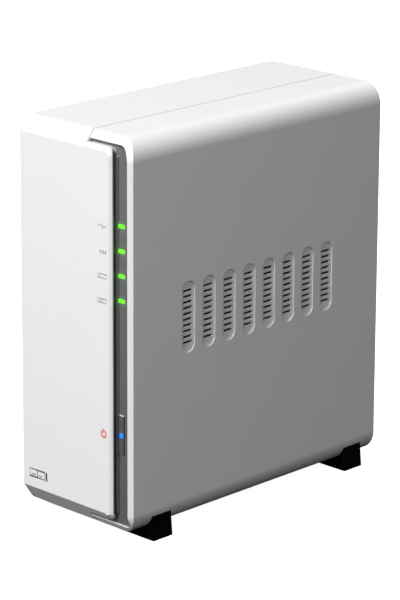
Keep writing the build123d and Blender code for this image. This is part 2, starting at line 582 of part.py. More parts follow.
LAN_MOUTH = (11.8, 8.0)
with BuildPart() as lan_socket:
    socket_block(LAN_X, LAN_SIZE, LAN_DEPTH)
    block((LAN_X - LAN_MOUTH[0] / 2, LAN_X + LAN_MOUTH[0] / 2), (SOCKET_REAR - 16, SOCKET_REAR + 1),
          (BOARD_TOP + 3.6, BOARD_TOP + 3.6 + LAN_MOUTH[1]), Mode.SUBTRACT)
    block((LAN_X - 3.2, LAN_X + 3.2), (SOCKET_REAR - 16, SOCKET_REAR + 1), (BOARD_TOP + 1.2, BOARD_TOP + 4),
          Mode.SUBTRACT)
finish(lan_socket, "lan_socket")

USB_MOUTH = (12.5, 5.1)
with BuildPart() as usb_sockets:
    for usb_x in USB_X:
        socket_block(usb_x, USB_SIZE, USB_DEPTH)
        block(about(usb_x, USB_MOUTH[0]), (SOCKET_REAR - 14, SOCKET_REAR + 1),
              (BOARD_TOP + 0.95, BOARD_TOP + 0.95 + USB_MOUTH[1]), Mode.SUBTRACT)
finish(usb_sockets, "usb_sockets")

with BuildPart() as usb_tongues:
    for usb_x in USB_X:
        block(about(usb_x, 10.8), (SOCKET_REAR - 14, SOCKET_REAR - 3), (BOARD_TOP + 3.6, BOARD_TOP + 5.3))
finish(usb_tongues, "usb_tongues")

DC_CENTRE_Z = BOARD_TOP + DC_SIZE[1] / 2
with BuildPart() as power_socket:
    socket_block(DC_X, DC_SIZE, DC_DEPTH)
    rod((DC_X, SOCKET_REAR + 1, DC_CENTRE_Z), (0, -1, 0), DC_BORE, 11.0, Mode.SUBTRACT)
finish(power_socket, "power_socket")

with BuildPart() as socket_contacts:
    rod((DC_X, SOCKET_REAR - 10, DC_CENTRE_Z), (0, 1, 0), DC_PIN, 9.0)
    with BuildSketch(facing_front(SOCKET_REAR - 8)):
        with Locations((LAN_X, BOARD_TOP + 10.9)):
            with GridLocations(1.02, 0, 8, 1):
                Rectangle(0.45, 0.6)
    extrude(amount=8.0)
finish(socket_contacts, "socket_contacts")

RESET_SWITCH_Y = (PANEL_INNER - 10.0, PANEL_INNER - 4.0)
with BuildPart() as push_switches:
    block(about(SWITCH_X, 6), (FRONT_BOARD_Y - SWITCH_DEPTH, FRONT_BOARD_Y), about(SWITCH_Z, 6))
    rod((SWITCH_X, FRONT_BOARD_Y - SWITCH_DEPTH - 1, SWITCH_Z), (0, 1, 0), STEM_RADIUS + 0.05,
        SWITCH_DEPTH + 0.4, Mode.SUBTRACT)
    block(about(RESET_X, 6), RESET_SWITCH_Y, (BOARD_TOP, BOARD_TOP + 7))
    rod((RESET_X, RESET_SWITCH_Y[1] + 1, RESET_Z), (0, -1, 0), STEM_RADIUS - 0.35, 5.0, Mode.SUBTRACT)
finish(push_switches, "push_switches")

with BuildPart() as reset_button:
    rod((RESET_X, RESET_SWITCH_Y[1] - 2.6, RESET_Z), (0, 1, 0), STEM_RADIUS - 0.4, 6.0)
finish(reset_button, "reset_button")

# ---------------------------------------------------------------- rear panel
PANEL_GAP = 0.3
GRILLE_RINGS, GRILLE_PITCH, GRILLE_BAR = 6, 5.6, 2.0
with BuildPart() as rear_panel:
    with BuildSketch(facing_front(PANEL_OUTER)):
        rounded_right((INNER_LEFT + 0.05, INNER_RIGHT - PANEL_GAP),
                      (INNER_BOTTOM + PANEL_GAP, INNER_TOP - PANEL_GAP), INNER_RADIUS, INNER_RADIUS)
    extrude(amount=PANEL_OUTER - PANEL_INNER)
    with BuildSketch(facing_front(PANEL_OUTER + 1)):
        with Locations((FAN_X, FAN_Z)):
            for ring in range(GRILLE_RINGS):
                outer = FAN_BORE - 0.5 - GRILLE_PITCH * ring
                Circle(outer)
                Circle(outer - GRILLE_PITCH + GRILLE_BAR, mode=Mode.SUBTRACT)
            with PolarLocations(0, 3, 30, 180):
                Rectangle(2 * FAN_BORE, 2.4, mode=Mode.SUBTRACT)
            with GridLocations(FAN_PITCH, FAN_PITCH, 2, 2):
                Circle(2.2)
        with Locations((LAN_X, BOARD_TOP + LAN_SIZE[1] / 2)):
            Rectangle(LAN_SIZE[0] + 0.4, LAN_SIZE[1] + 0.4)
        for usb_x in USB_X:
            with Locations((usb_x, BOARD_TOP + USB_SIZE[1] / 2)):
                Rectangle(USB_SIZE[0] + 0.4, USB_SIZE[1] + 0.4)
        with Locations((DC_X, DC_CENTRE_Z)):
            Rectangle(DC_SIZE[0] + 0.4, DC_SIZE[1] + 0.4)
        with Locations((RESET_X, RESET_Z)):
            Circle(RESET_HOLE)
        with Locations((30.0, 60.0)):
            RectangleRounded(7.0, 3.2, 0.8)
        with Locations(*[(PANEL_POST_X, z) for z in PANEL_POSTS_Z]):
            Circle(1.7)
        with Locations(*[(COVER_SCREW_X, z) for z in COVER_SCREW_Z]):
            Circle(1.7)
        with Locations((-2.0, 110.0)):
            with GridLocations(9.0, 7.0, 7, 4):
                SlotOverall(6.4, 2.6)
    extrude(amount=6.0, mode=Mode.SUBTRACT)
finish(rear_panel, "rear_panel")

with BuildPart() as rear_panel_screws:
    for z in PANEL_POSTS_Z:
        screw((PANEL_POST_X, PANEL_OUTER, z), (0, 1, 0), 2.6, 1.4, 1.5, 10.0)
finish(rear_panel_screws, "rear_panel_screws")

with BuildPart() as cover_screws:
    for z in COVER_SCREW_Z:
        screw((COVER_SCREW_X, PANEL_OUTER, z), (0, 1, 0), 2.9, 1.4, COVER_SCREW_RADIUS, 9.0)
finish(cover_screws, "cover_screws")

# ---------------------------------------------------------------- fan
HUB_RADIUS, HUB_INNER = 17.0, 15.4
STRUT_DEPTH = 3.0
BEARING_RADIUS, SHAFT_RADIUS, BORE_GAP = 3.5, 1.5, 0.04
FAN_TUBE = BEARING_RADIUS + 1.2
FLANGE = 3.5
ROTOR_FRONT = FAN_FRONT + 1.5
ROTOR_REAR = PANEL_INNER - STRUT_DEPTH - 1.2
BLADES, BLADE_TIP, BLADE_PITCH = 7, 36.6, 38.0
HUB_BACK = PANEL_INNER - STRUT_DEPTH

with BuildPart() as fan_frame:
    for flange_y in (PANEL_INNER, FAN_FRONT + FLANGE):
        with BuildSketch(facing_front(flange_y)):
            with Locations((FAN_X, FAN_Z)):
                RectangleRounded(FAN_SIZE, FAN_SIZE, 4.0)
        extrude(amount=FLANGE)
    rod((FAN_X, FAN_FRONT, FAN_Z), (0, 1, 0), FAN_SIZE / 2, FAN_DEPTH)
    rod((FAN_X, FAN_FRONT - 1, FAN_Z), (0, 1, 0), FAN_BORE, FAN_DEPTH + 2, Mode.SUBTRACT)
    with BuildSketch(facing_front(PANEL_INNER)):
        with Locations((FAN_X, FAN_Z)):
            Circle(HUB_RADIUS + 0.5)
            with PolarLocations(0, 2, 0, 180):
                Rectangle(2 * FAN_BORE + 1, 4.0)
    extrude(amount=STRUT_DEPTH)
    rod((FAN_X, HUB_BACK + 0.5, FAN_Z), (0, -1, 0), FAN_TUBE, 14.5)
    rod((FAN_X, PANEL_INNER - 1.0, FAN_Z), (0, -1, 0), BEARING_RADIUS, 20.0, Mode.SUBTRACT)
    with BuildSketch(facing_front(PANEL_INNER + 1)):
        with Locations((FAN_X, FAN_Z)):
            with GridLocations(FAN_PITCH, FAN_PITCH, 2, 2):
                Circle(2.15)
    extrude(amount=FAN_DEPTH + 2, mode=Mode.SUBTRACT)
finish(fan_frame, "fan_frame")

with BuildPart() as fan_bearing:
    rod((FAN_X, PANEL_INNER - 1.0, FAN_Z), (0, -1, 0), BEARING_RADIUS, 15.5)
    rod((FAN_X, PANEL_INNER - 2.0, FAN_Z), (0, -1, 0), SHAFT_RADIUS + BORE_GAP, 20.0, Mode.SUBTRACT)
finish(fan_bearing, "fan_bearing")

with BuildPart() as fan_stator:
    with BuildSketch(facing_front(HUB_BACK - 1.8)):
        with Locations((FAN_X, FAN_Z)):
            Circle(FAN_TUBE + 2.5)
            with PolarLocations(0, 4, 45):
                with Locations((7.5, 0)):
                    Rectangle(9.0, 5.0)
                with Locations((11.9, 0)):
                    Rectangle(1.6, 11.0)
            Circle(FAN_TUBE, mode=Mode.SUBTRACT)
    extrude(amount=8.0)
    rod((FAN_X, HUB_BACK - 1.8, FAN_Z), (0, 1, 0), HUB_INNER - 2.0, 1.2)
    rod((FAN_X, HUB_BACK + 1.0, FAN_Z), (0, -1, 0), FAN_TUBE, 12.0, Mode.SUBTRACT)
finish(fan_stator, "fan_stator")

with BuildPart() as fan_rotor:
    for i in range(BLADES):
        with Locations(Location((FAN_X, (ROTOR_FRONT + ROTOR_REAR) / 2, FAN_Z), (0, 360 / BLADES * i, 0))):
            with Locations(Location((27.0, 0, 0), (BLADE_PITCH, 0, 0))):
                Box(23.0, 27.0, 1.5)
    with BuildSketch(facing_front(ROTOR_REAR)):
        with Locations((FAN_X, FAN_Z)):
            Circle(BLADE_TIP)
    extrude(amount=ROTOR_REAR - ROTOR_FRONT, mode=Mode.INTERSECT)
    rod((FAN_X, ROTOR_FRONT, FAN_Z), (0, 1, 0), HUB_RADIUS, ROTOR_REAR - ROTOR_FRONT)
    rod((FAN_X, ROTOR_FRONT + 2.0, FAN_Z), (0, 1, 0), HUB_INNER, FAN_DEPTH, Mode.SUBTRACT)
finish(fan_rotor, "fan_rotor")

with BuildPart() as fan_magnet:
    rod((FAN_X, ROTOR_FRONT + 3.0, FAN_Z), (0, 1, 0), HUB_INNER, 12.0)
    rod((FAN_X, ROTOR_FRONT + 2.0, FAN_Z), (0, 1, 0), HUB_INNER - 1.3, 20.0, Mode.SUBTRACT)
finish(fan_magnet, "fan_magnet")

with BuildPart() as fan_shaft:
    rod((FAN_X, ROTOR_FRONT + 2.0, FAN_Z), (0, 1, 0), SHAFT_RADIUS, PANEL_INNER - 2.6 - ROTOR_FRONT - 2.0)
finish(fan_shaft, "fan_shaft")

with BuildPart() as fan_screws:
    for side_x in (-1, 1):
        for side_z in (-1, 1):
            screw((FAN_X + side_x * FAN_PITCH / 2, PANEL_OUTER, FAN_Z + side_z * FAN_PITCH / 2), (0, 1, 0),
                  3.4, 1.4, 2.15, PANEL_OUTER - PANEL_INNER + FLANGE + 4)
finish(fan_screws, "fan_screws")

# ---------------------------------------------------------------- drive cage and backplane
DRIVE_HOLES_Z = (DRIVE_Z0 + 28.5, DRIVE_Z0 + 130.1)
DRIVE_HOLE_X = 6.35 - DRIVE_THICK / 2
drive_screw_places = [(x + DRIVE_HOLE_X, z) for x in DRIVE_X for z in DRIVE_HOLES_Z]
cage_walls = ((CAGE_FRONT - SHEET, CAGE_FRONT), (CAGE_REAR, CAGE_REAR + SHEET))
cage_flanges = ((CAGE_FRONT - CAGE_FLANGE, CAGE_FRONT), (CAGE_REAR, CAGE_REAR + CAGE_FLANGE))
SOCKET_X = [x - 9.6 for x in DRIVE_X]
SOCKET_Y = DRIVE_Y0 + 38.0
BACKPLANE_TOP = BACKPLANE_Z + BOARD_THICK
BACKPLANE_POSTS = [(x, y) for x in (-29.0, 29.0) for y in (-58.0, 24.0)]

with BuildPart() as drive_cage:
    for wall in cage_walls:
        block((-CAGE_X, CAGE_X), wall, (CAGE_FLOOR, CAGE_TOP))
    for flange in cage_flanges:
        block((CAGE_FLANGE_X, -CAGE_X), flange, (CAGE_FLOOR, CAGE_TOP))
    block((-CAGE_X, CAGE_X), (CAGE_FRONT - 0.5, CAGE_REAR + 0.5), (CAGE_FLOOR, CAGE_FLOOR + SHEET))
    with BuildSketch(Plane.XY.offset(CAGE_FLOOR - 1)):
        for socket_x in SOCKET_X:
            with Locations((socket_x, SOCKET_Y)):
                RectangleRounded(12.0, 52.0, 2.0)
        with Locations((0.0, 8.0)):
            RectangleRounded(44.0, 26.0, 3.0)
    extrude(amount=SHEET + 2, mode=Mode.SUBTRACT)
    with BuildSketch(facing_front(CAGE_REAR + SHEET + 1)):
        with Locations((0, DRIVE_Z0 + 79.3)):
            with GridLocations(11.0, 0, 5, 1):
                SlotOverall(78.0, 6.0, rotation=90)
        with Locations(*drive_screw_places):
            Circle(1.8)
    extrude(amount=DRIVE_WIDTH + 20, mode=Mode.SUBTRACT)
    for y in CAGE_POST_Y:
        for z in CAGE_POST_Z:
            rod((CAGE_FLANGE_X - 1, y, z), (1, 0, 0), 1.7, SHEET + 2, Mode.SUBTRACT)
    for x, y in BACKPLANE_POSTS:
        rod((x, y, CAGE_FLOOR + 0.2), (0, 0, -1), 3.0, CAGE_FLOOR + 0.2 - BACKPLANE_TOP)
        rod((x, y, BACKPLANE_TOP), (0, 0, 1), 1.5, 5.0, Mode.SUBTRACT)
finish(drive_cage, "drive_cage")

with BuildPart() as drive_screws:
    for x, z in drive_screw_places:
        screw((x, CAGE_FRONT - SHEET, z), (0, -1, 0), 3.0, 1.4, 1.7, 5.5)
        screw((x, CAGE_REAR + SHEET, z), (0, 1, 0), 3.0, 1.4, 1.7, 5.5)
finish(drive_screws, "drive_screws")

with BuildPart() as backplane:
    block((-34.0, 34.0), (-63.0, 30.0), (BACKPLANE_Z, BACKPLANE_TOP))
    for x, y in BACKPLANE_POSTS:
        rod((x, y, BACKPLANE_Z - 1), (0, 0, 1), 1.7, 4.0, Mode.SUBTRACT)
finish(backplane, "backplane")

with BuildPart() as frame_screws:
    for x, y in TRAY_POSTS:
        screw((x, y, TRAY_Z + SHEET), (0, 0, 1), 2.8, 1.6, 1.5, 4.6)
    for x, y in BOARD_POSTS:
        screw((x, y, BOARD_TOP), (0, 0, 1), 2.8, 1.6, 1.5, 6.0)
    for x, y in BACKPLANE_POSTS:
        screw((x, y, BACKPLANE_Z), (0, 0, -1), 2.8, 1.6, 1.5, 5.5)
    for y in CAGE_POST_Y:
        for z in CAGE_POST_Z:
            screw((-CAGE_X, y, z), (1, 0, 0), 2.8, 1.6, 1.5, 7.0)
finish(frame_screws, "frame_screws")

NOSE = (4.4, 40.4)
SHROUD_DEPTH = 6.0
with BuildPart() as drive_sockets:
    for socket_x in SOCKET_X:
        block(about(socket_x, 8.0), about(SOCKET_Y, 46), (BACKPLANE_TOP, BACKPLANE_TOP + 9))
        block(about(socket_x, NOSE[0]), about(SOCKET_Y, NOSE[1]), (BACKPLANE_TOP + 8.5, DRIVE_Z0 + 4.5))
        block(about(socket_x, 1.6), about(SOCKET_Y, 38.6), (DRIVE_Z0 - 2.0, DRIVE_Z0 + 6), Mode.SUBTRACT)
finish(drive_sockets, "drive_sockets")

# ---------------------------------------------------------------- riser between the two boards
RISER_Y, RISER_X = -30.0, 24.0
SLOT_BODY = (26.0, 4.0, 8.0)
with BuildPart() as riser_slots:
    for low, high in ((BOARD_TOP, BOARD_TOP + SLOT_BODY[2]), (BACKPLANE_Z - SLOT_BODY[2], BACKPLANE_Z)):
        block(about(0, 2 * SLOT_BODY[0]), about(RISER_Y, 2 * SLOT_BODY[1]), (low, high))
    block(about(0, 2 * RISER_X + 0.2), about(RISER_Y, BOARD_THICK + 0.1),
          (BOARD_TOP + 2, BACKPLANE_Z - 2), Mode.SUBTRACT)
finish(riser_slots, "riser_slots")

with BuildPart() as riser_board:
    block((-RISER_X, RISER_X), (RISER_Y - BOARD_THICK / 2, RISER_Y + BOARD_THICK / 2),
          (BOARD_TOP + 2.2, BACKPLANE_Z - 2.2))
finish(riser_board, "riser_board")

# ---------------------------------------------------------------- the two drives
LID, BOARD_RECESS, DRIVE_BOARD = 1.0, 3.2, 1.4
DRIVE_TOP_Z = DRIVE_Z0 + DRIVE_LENGTH
DRIVE_Y1 = DRIVE_Y0 + DRIVE_WIDTH
SHROUD = (6.6, 46.0, 11.0)

for number, drive_x in enumerate(DRIVE_X, start=1):
    low_x, high_x = drive_x - DRIVE_THICK / 2, drive_x + DRIVE_THICK / 2
    socket_x = drive_x - 9.6
    shroud_x = (low_x, low_x + SHROUD[0])
    shroud_y = (SOCKET_Y - SHROUD[1] / 2, SOCKET_Y + SHROUD[1] / 2)
    board_y = (DRIVE_Y0 + 5.0, DRIVE_Y1 - 5.0)
    board_z = (DRIVE_Z0 + SHROUD[2], DRIVE_Z0 + 96.0)

    with BuildPart() as drive_casting:
        block((low_x, high_x - LID), (DRIVE_Y0, DRIVE_Y1), (DRIVE_Z0, DRIVE_TOP_Z))
        fillet(drive_casting.edges().filter_by(Axis.X), radius=3.0)
        block((low_x - 1, low_x + BOARD_RECESS), board_y, (board_z[0] - 1, board_z[1]), Mode.SUBTRACT)
        block((low_x - 1, shroud_x[1]), shroud_y, (DRIVE_Z0 - 1, board_z[0]), Mode.SUBTRACT)
        rod((low_x - 1, DRIVE_Y0 + 50.8, DRIVE_Z0 + 118), (1, 0, 0), 21.0, 2.2, Mode.SUBTRACT)
        for hole_z in DRIVE_HOLES_Z:
            rod((drive_x + DRIVE_HOLE_X, DRIVE_Y0 - 1, hole_z), (0, 1, 0), 1.7, 5.0, Mode.SUBTRACT)
            rod((drive_x + DRIVE_HOLE_X, DRIVE_Y1 + 1, hole_z), (0, -1, 0), 1.7, 5.0, Mode.SUBTRACT)
    finish(drive_casting, f"drive_{number}_casting")

    with BuildPart() as drive_lid:
        with BuildSketch(Plane.YZ.offset(high_x - LID)):
            with Locations(((DRIVE_Y0 + DRIVE_Y1) / 2, (DRIVE_Z0 + DRIVE_TOP_Z) / 2)):
                RectangleRounded(DRIVE_WIDTH - 3.0, DRIVE_LENGTH - 3.0, 8.0)
        extrude(amount=LID)
        fillet(drive_lid.faces().sort_by(Axis.X)[-1].edges(), radius=0.5)
    finish(drive_lid, f"drive_{number}_lid")

    with BuildPart() as drive_board:
        block((low_x + BOARD_RECESS - DRIVE_BOARD, low_x + BOARD_RECESS),
              (board_y[0] + 0.5, board_y[1] - 0.5), (board_z[0] + 0.5, board_z[1] - 0.5))
    finish(drive_board, f"drive_{number}_board")

    with BuildPart() as drive_connector:
        block(shroud_x, shroud_y, (DRIVE_Z0, board_z[0] - 1))
        block((socket_x - NOSE[0] / 2 - 0.3, socket_x + NOSE[0] / 2 + 0.3),
              (SOCKET_Y - NOSE[1] / 2 - 0.3, SOCKET_Y + NOSE[1] / 2 + 0.3),
              (DRIVE_Z0 - 1, DRIVE_Z0 + SHROUD_DEPTH), Mode.SUBTRACT)
        block((socket_x - 0.6, socket_x + 0.6), (SOCKET_Y - 19, SOCKET_Y + 19),
              (DRIVE_Z0 + 0.5, DRIVE_Z0 + SHROUD_DEPTH + 0.5))
    finish(drive_connector, f"drive_{number}_connector")

# ---------------------------------------------------------------- leads and their headers
FAN_HEADER = (-36.0, 61.0)
PANEL_HEADER = (20.0, -76.0)
HEADER_TOP = BOARD_TOP + 7.0
LEAD_RADIUS = 1.0

with BuildPart() as lead_headers:
    block(about(FAN_HEADER[0], 6), about(FAN_HEADER[1], 10), (BOARD_TOP, HEADER_TOP))
    block(about(PANEL_HEADER[0], 10), about(PANEL_HEADER[1], 6), (BOARD_TOP, HEADER_TOP))
    block(about(FRONT_PLUG[0], 10), (FRONT_PLUG[1], FRONT_PLUG[1] + 5), about(FRONT_PLUG[2], 6))
finish(lead_headers, "lead_headers")

fan_bottom = FAN_Z - FAN_SIZE / 2
with BuildPart() as fan_lead:
    lead("fan_lead", [
        (-36.0, 92.0, fan_bottom), (-36.0, 92.0, fan_bottom - 18), (-38.0, 90.0, fan_bottom - 40),
        (-38.0, 82.0, fan_bottom - 64), (-36.5, 71.0, fan_bottom - 86),
        (*FAN_HEADER, fan_bottom - 102), (*FAN_HEADER, HEADER_TOP),
    ], LEAD_RADIUS)
finish(fan_lead, "fan_lead")

plug_back = FRONT_PLUG[1] + 5.0
with BuildPart() as front_lead:
    lead("front_lead", [
        (33.0, plug_back, 92.0), (33.0, -83.0, 92.0), (32.0, -77.5, 85.0), (29.5, -76.5, 73.0),
        (24.5, -75.5, 56.0), (*PANEL_HEADER, 41.0), (*PANEL_HEADER, HEADER_TOP),
    ], LEAD_RADIUS)
finish(front_lead, "front_lead")
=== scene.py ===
"""Studio scene of an upright two-drive network storage box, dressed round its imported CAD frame."""
import json
import math

import bmesh
import bpy
from mathutils import Matrix, Vector


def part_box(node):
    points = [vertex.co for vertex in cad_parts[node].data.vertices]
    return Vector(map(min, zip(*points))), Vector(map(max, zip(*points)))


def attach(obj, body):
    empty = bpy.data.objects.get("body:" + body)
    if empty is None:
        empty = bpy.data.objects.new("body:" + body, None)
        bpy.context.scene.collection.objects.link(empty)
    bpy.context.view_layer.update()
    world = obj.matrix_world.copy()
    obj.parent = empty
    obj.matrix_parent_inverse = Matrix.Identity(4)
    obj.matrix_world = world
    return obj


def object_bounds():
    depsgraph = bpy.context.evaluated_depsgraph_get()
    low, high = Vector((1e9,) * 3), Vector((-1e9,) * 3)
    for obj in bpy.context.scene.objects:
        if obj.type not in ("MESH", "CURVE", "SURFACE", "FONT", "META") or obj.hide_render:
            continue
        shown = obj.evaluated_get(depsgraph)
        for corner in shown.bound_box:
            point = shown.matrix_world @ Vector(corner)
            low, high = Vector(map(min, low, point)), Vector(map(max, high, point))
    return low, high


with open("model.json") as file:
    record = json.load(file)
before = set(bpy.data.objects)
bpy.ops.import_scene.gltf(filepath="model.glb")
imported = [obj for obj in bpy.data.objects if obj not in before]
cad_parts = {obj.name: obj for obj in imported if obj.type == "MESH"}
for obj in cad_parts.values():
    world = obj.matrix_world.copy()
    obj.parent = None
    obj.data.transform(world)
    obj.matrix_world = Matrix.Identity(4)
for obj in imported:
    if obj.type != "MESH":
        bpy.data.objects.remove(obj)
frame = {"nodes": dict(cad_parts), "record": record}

CAD_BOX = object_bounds()
LOW, HIGH = Vector(CAD_BOX[0]), Vector(CAD_BOX[1])
MM = 0.001
EVEN = (1.0, 1.0, 1.0)               # a texture with the same scale along every axis


# ---------------------------------------------------------------- materials
class Finish:
    """A node-built material: a Principled shader with helpers that add texture to it."""

    def __init__(self, name, color, roughness, metallic=0.0, **sockets):
        self.material = bpy.data.materials.new(name)
        self.material.use_nodes = True
        self.tree = self.material.node_tree
        self.shader = self.tree.nodes["Principled BSDF"]
        self.shader.inputs["Base Color"].default_value = (*color, 1.0)
        self.shader.inputs["Roughness"].default_value = roughness
        self.shader.inputs["Metallic"].default_value = metallic
        for socket, value in sockets.items():
            self.shader.inputs[socket.replace("_", " ")].default_value = value
        self.place = self.node("ShaderNodeTexCoord").outputs["Object"]

    def node(self, kind, **settings):
        made = self.tree.nodes.new(kind)
        for key, value in settings.items():
            setattr(made, key, value)
        return made

    def link(self, source, target):
        self.tree.links.new(source, target)

    def stretched(self, scale):
        """The place coordinates multiplied by a different scale on each axis."""
        mapping = self.node("ShaderNodeMapping")
        mapping.inputs["Scale"].default_value = scale
        self.link(self.place, mapping.inputs["Vector"])
        return mapping.outputs["Vector"]

    def noise(self, per_metre, detail=2.0, stretch=None):
        texture = self.node("ShaderNodeTexNoise")
        texture.inputs["Scale"].default_value = per_metre
        texture.inputs["Detail"].default_value = detail
        self.link(self.stretched(stretch) if stretch else self.place, texture.inputs["Vector"])
        return texture.outputs["Fac"]

    def blend(self, value, low, high, start=0.35, end=0.65):
        """A colour that runs from low to high as value goes from start to end."""
        ramp = self.node("ShaderNodeValToRGB")
        ramp.color_ramp.elements[0].position = start
        ramp.color_ramp.elements[0].color = (*low, 1.0)
        ramp.color_ramp.elements[1].position = end
        ramp.color_ramp.elements[1].color = (*high, 1.0)
        self.link(value, ramp.inputs["Fac"])
        return ramp.outputs["Color"]

    def span(self, value, low, high, start=0.3, end=0.7):
        """A number that runs from low to high as value goes from start to end."""
        ranger = self.node("ShaderNodeMapRange")
        for socket, number in zip(("From Min", "From Max", "To Min", "To Max"), (start, end, low, high)):
            ranger.inputs[socket].default_value = number
        self.link(value, ranger.inputs["Value"])
        return ranger.outputs["Result"]

    def math(self, operation, first, second):
        made = self.node("ShaderNodeMath", operation=operation)
        for socket, value in zip(made.inputs, (first, second)):
            if isinstance(value, (int, float)):
                socket.default_value = value
            else:
                self.link(value, socket)
        return made.outputs["Value"]

    def color(self, source):
        self.link(source, self.shader.inputs["Base Color"])

    def roughness(self, source):
        self.link(source, self.shader.inputs["Roughness"])

    def bump(self, height, depth, edge=0.0):
        """Relief of the given depth in metres, over hard edges softened to the radius edge."""
        made = self.node("ShaderNodeBump")
        made.inputs["Distance"].default_value = depth
        if edge:
            soft = self.node("ShaderNodeBevel", samples=6)
            soft.inputs["Radius"].default_value = edge
            self.link(soft.outputs["Normal"], made.inputs["Normal"])
        self.link(height, made.inputs["Height"])
        self.link(made.outputs["Normal"], self.shader.inputs["Normal"])


def moulded(name, low, high, rough=(0.36, 0.46), grain=3200.0, depth=12e-6, edge=0.0, **sockets):
    """Moulded plastic: faint mottling, fine spark-eroded grain and uneven sheen."""
    finish = Finish(name, low, rough[0], **sockets)
    cloud = finish.noise(35.0, 3.0)
    finish.color(finish.blend(cloud, low, high))
    finish.roughness(finish.span(finish.noise(180.0, 4.0), *rough))
    finish.bump(finish.noise(grain, 3.0), depth, edge)
    return finish


def metal(name, low, high, rough, stretch, per_metre=900.0, depth=4e-6):
    """Bare metal with fine drawn or cast texture."""
    finish = Finish(name, low, rough[0], metallic=1.0)
    streak = finish.noise(per_metre, 4.0, stretch)
    finish.color(finish.blend(streak, low, high))
    finish.roughness(finish.span(streak, *rough))
    finish.bump(streak, depth)
    return finish


def grey(value):
    return (value, value, value)


def white_shell():
    """White satin plastic, with painted shade inside narrow gaps, where little light gets in."""
    finish = moulded("white_shell", grey(0.815), grey(0.825), rough=(0.42, 0.48), edge=0.6 * MM)
    # painted shade: an ambient occlusion node darkens the colour inside narrow gaps and seams
    gap = finish.node("ShaderNodeAmbientOcclusion", samples=8)
    gap.inputs["Distance"].default_value = 1.6 * MM
    cloud = finish.span(finish.noise(35.0, 3.0), 0.815, 0.825)
    shade = finish.math("MULTIPLY", finish.span(gap.outputs["AO"], 0.05, 1.0, 0.20, 0.62), cloud)
    finish.color(finish.blend(shade, grey(0.0), grey(1.0), 0.0, 1.0))
    return finish.material


def strip_plastic(lights):
    """Dark satin plastic, with painted shade near black up its inner wall, on faces that look down and
    towards the bottom, and a painted highlight on edges that look up.
    It carries a painted green glow round each green light."""
    dark, pale = 0.003, 0.158
    finish = moulded("strip_plastic", grey(pale), grey(pale), rough=(0.36, 0.42), depth=5e-6,
                     edge=0.2 * MM)
    depth = finish.node("ShaderNodeSeparateXYZ")
    finish.link(finish.place, depth.inputs["Vector"])
    # painted shade: the colour runs near black up the inner wall beside the plate, pale on the strip's
    # face
    wall = finish.span(depth.outputs["Y"], dark, pale, LOW.y + 3.0 * MM, STRIP_FACE_Y + 0.2 * MM)
    # painted shade: the colour is darker towards the bottom
    painted_low_shade = finish.span(depth.outputs["Z"], 0.66, 1.0, LOW.z, HIGH.z)
    facing = finish.node("ShaderNodeSeparateXYZ")
    finish.link(finish.node("ShaderNodeNewGeometry").outputs["True Normal"], facing.inputs["Vector"])
    # painted shade: faces that look down get a darker colour
    painted_down_shade = finish.span(facing.outputs["Z"], 0.25, 1.0, -0.7, -0.3)
    # painted highlight: faces that look up get a lighter colour
    painted_up_highlight = finish.span(facing.outputs["Z"], 1.0, 3.6, 0.3, 0.7)
    cloud = finish.span(finish.noise(60.0, 3.0), 0.97, 1.0)
    shade = finish.math("MULTIPLY", finish.math("MULTIPLY", wall, painted_low_shade), cloud)
    shade = finish.math("MULTIPLY", finish.math("MULTIPLY", painted_down_shade, painted_up_highlight), shade)
    finish.color(finish.blend(shade, grey(0.0), grey(1.0), 0.0, 1.0))
    # painted light: the strip plastic glows green round each light, as a painted halo of its spill
    painted_green_glow = None
    for spot in lights:
        gap = finish.node("ShaderNodeVectorMath", operation="DISTANCE")
        finish.link(finish.place, gap.inputs[0])
        gap.inputs[1].default_value = spot
        near = finish.span(gap.outputs["Value"], 0.06, 0.0, 2.2 * MM, 4.6 * MM)
        painted_green_glow = near if painted_green_glow is None else finish.math("ADD", painted_green_glow, near)
    finish.shader.inputs["Emission Color"].default_value = (0.10, 1.0, 0.02, 1.0)
    finish.link(painted_green_glow, finish.shader.inputs["Emission Strength"])
    return finish.material


def lit(name, core, rim, centre, reach, strength):
    """A light guide: brightest in its middle, deeper in colour at its edge."""
    finish = Finish(name, rim, 0.25)
    gap = finish.node("ShaderNodeVectorMath", operation="DISTANCE")
    finish.link(finish.place, gap.inputs[0])
    gap.inputs[1].default_value = centre
    shade = finish.blend(gap.outputs["Value"], core, rim, 0.0, reach)
    grain = finish.noise(2600.0, 2.0)
    finish.color(shade)
    finish.link(shade, finish.shader.inputs["Emission Color"])
    finish.shader.inputs["Emission Strength"].default_value = strength
    finish.bump(grain, 10e-6)
    return finish.material


def foot_rubber():
    return moulded("foot_rubber", grey(0.001), grey(0.003), rough=(0.6, 0.75), grain=2400.0, depth=25e-6,
                   Specular_IOR_Level=0.06).material


def panel_plastic():
    return moulded("panel_plastic", grey(0.52), grey(0.56), rough=(0.45, 0.55), grain=2600.0,
                   depth=18e-6).material


def chip_black():
    return moulded("chip_black", grey(0.018), grey(0.028), rough=(0.38, 0.55), grain=3800.0).material


def header_nylon():
    return moulded("header_nylon", (0.70, 0.66, 0.55), (0.77, 0.74, 0.64), rough=(0.35, 0.45)).material


def fan_plastic():
    return moulded("fan_plastic", grey(0.016), grey(0.024), rough=(0.32, 0.45), grain=1500.0).material


def lead_jacket():
    finish = Finish("lead_jacket", grey(0.02), 0.45)
    braid = finish.node("ShaderNodeTexWave", wave_type="BANDS", bands_direction="Z")
    braid.inputs["Scale"].default_value = 420.0
    braid.inputs["Distortion"].default_value = 1.5
    finish.link(finish.place, braid.inputs["Vector"])
    finish.color(finish.blend(braid.outputs["Fac"], grey(0.012), grey(0.035)))
    finish.bump(braid.outputs["Fac"], 80e-6)
    return finish.material


